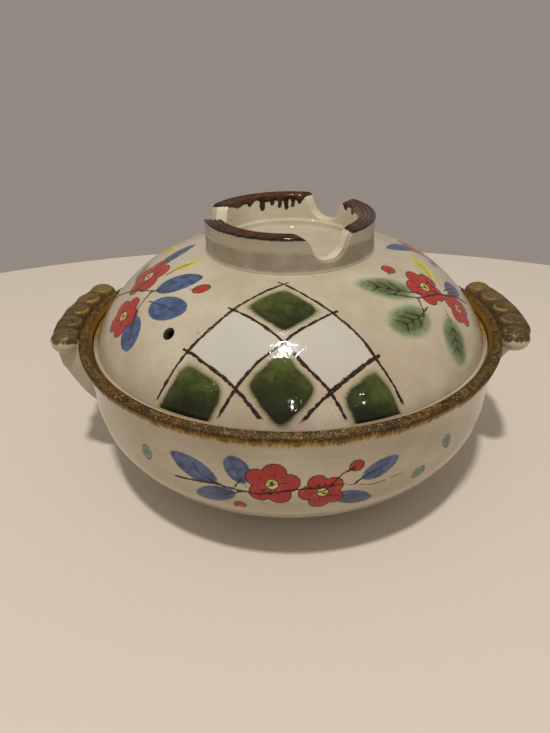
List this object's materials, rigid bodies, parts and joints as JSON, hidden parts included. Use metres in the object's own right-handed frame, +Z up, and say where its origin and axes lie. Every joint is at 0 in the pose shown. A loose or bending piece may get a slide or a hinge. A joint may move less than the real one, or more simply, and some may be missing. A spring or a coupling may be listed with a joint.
{
  "type": "donabe clay pot",
  "caption": "Round clay hot pot with knuckled side handles, a domed lid that drops into the rim and a notched ring knob",
  "frame": {"origin": "centre of the foot, on the surface that the pot stands on", "axes": "+Z up through the lid's knob, +X through the right handle, -Y the front that the picture shows"},
  "size_m": [0.3014, 0.2632, 0.1651],
  "materials": {
    "bowl_glaze": "glossy crackled cream glaze, brown at the rim",
    "handle_glaze": "glossy mottled brown glaze, cream below",
    "lid_glaze": "glossy crackled cream glaze, painted",
    "knob_glaze": "dark brown glaze above, greige speckled glaze below"
  },
  "bodies": {
    "pot": {"bowl": "bowl_glaze", "handle_left": "handle_glaze", "handle_right": "handle_glaze"},
    "lid": {"lid": "lid_glaze", "ring_knob": "knob_glaze"}
  },
  "joints": [
    {"name": "lid_lift", "type": "slide", "parent": "pot", "child": "lid", "axis": [0, 0, 1], "range_m": [0, 0.12]}
  ]
}
